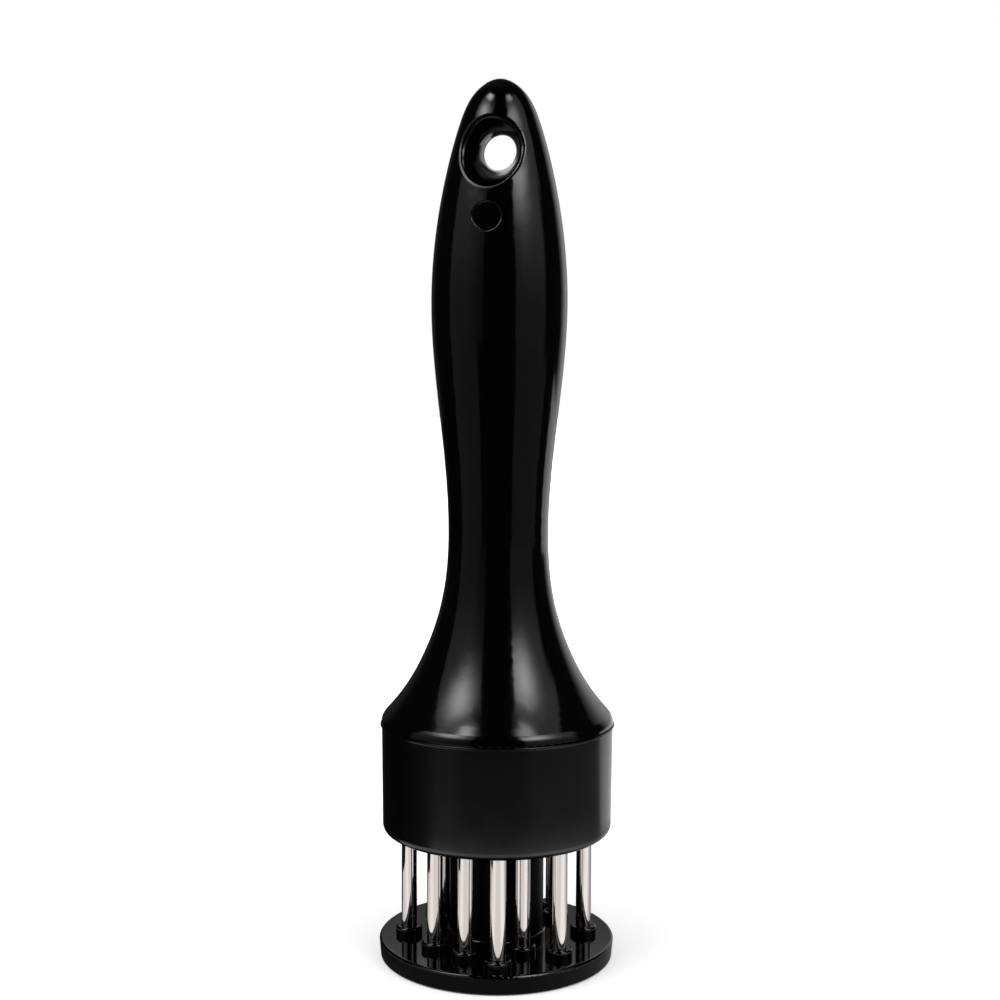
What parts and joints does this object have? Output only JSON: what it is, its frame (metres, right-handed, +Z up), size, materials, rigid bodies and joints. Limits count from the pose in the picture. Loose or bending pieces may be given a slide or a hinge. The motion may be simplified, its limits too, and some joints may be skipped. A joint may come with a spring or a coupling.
{
  "type": "meat tenderizer",
  "caption": "Plunger meat tenderizer: a turned handle on a cup-shaped collar drives steel pins down through a sprung round guard disc.",
  "frame": {"origin": "centre of the guard disc's underside, which the tool stands on", "axes": "+Z up along the tool's axis to the handle's tip; the hanging hole runs along Y, with the moulding gate's recess on the -Y side"},
  "size_m": [0.0532, 0.0532, 0.1965],
  "materials": {
    "handle_plastic": "glossy black ABS",
    "collar_plastic": "satin black ABS",
    "disc_plastic": "glossy black ABS top with a satin rim",
    "tube_plastic": "semi-gloss black plastic",
    "pin_steel": "polished stainless steel",
    "screw_steel": "plain zinc-plated steel",
    "plate_steel": "plain stamped steel",
    "washer_steel": "plain stamped steel",
    "spring_steel": "drawn spring wire"
  },
  "bodies": {
    "handle_unit": {"handle": "handle_plastic", "collar": "collar_plastic", "clamp_plate": "plate_steel", "collar_screws": "screw_steel", "spring_washer": "washer_steel", "return_spring": "spring_steel", "pin_01": "pin_steel", "pin_02": "pin_steel", "pin_03": "pin_steel", "pin_04": "pin_steel", "pin_05": "pin_steel", "pin_06": "pin_steel", "pin_07": "pin_steel", "pin_08": "pin_steel", "pin_09": "pin_steel", "pin_10": "pin_steel", "pin_11": "pin_steel", "pin_12": "pin_steel", "pin_13": "pin_steel", "pin_14": "pin_steel"},
    "guard": {"guard_disc": "disc_plastic", "guide_tube": "tube_plastic", "disc_screw": "screw_steel"}
  },
  "joints": [
    {"name": "guard_slide", "type": "slide", "parent": "handle_unit", "child": "guard", "axis": [0, 0, 1], "range_m": [0, 0.02], "stiffness_N_per_m": 400, "springref_m": -0.02, "deforming": ["return_spring"]}
  ]
}
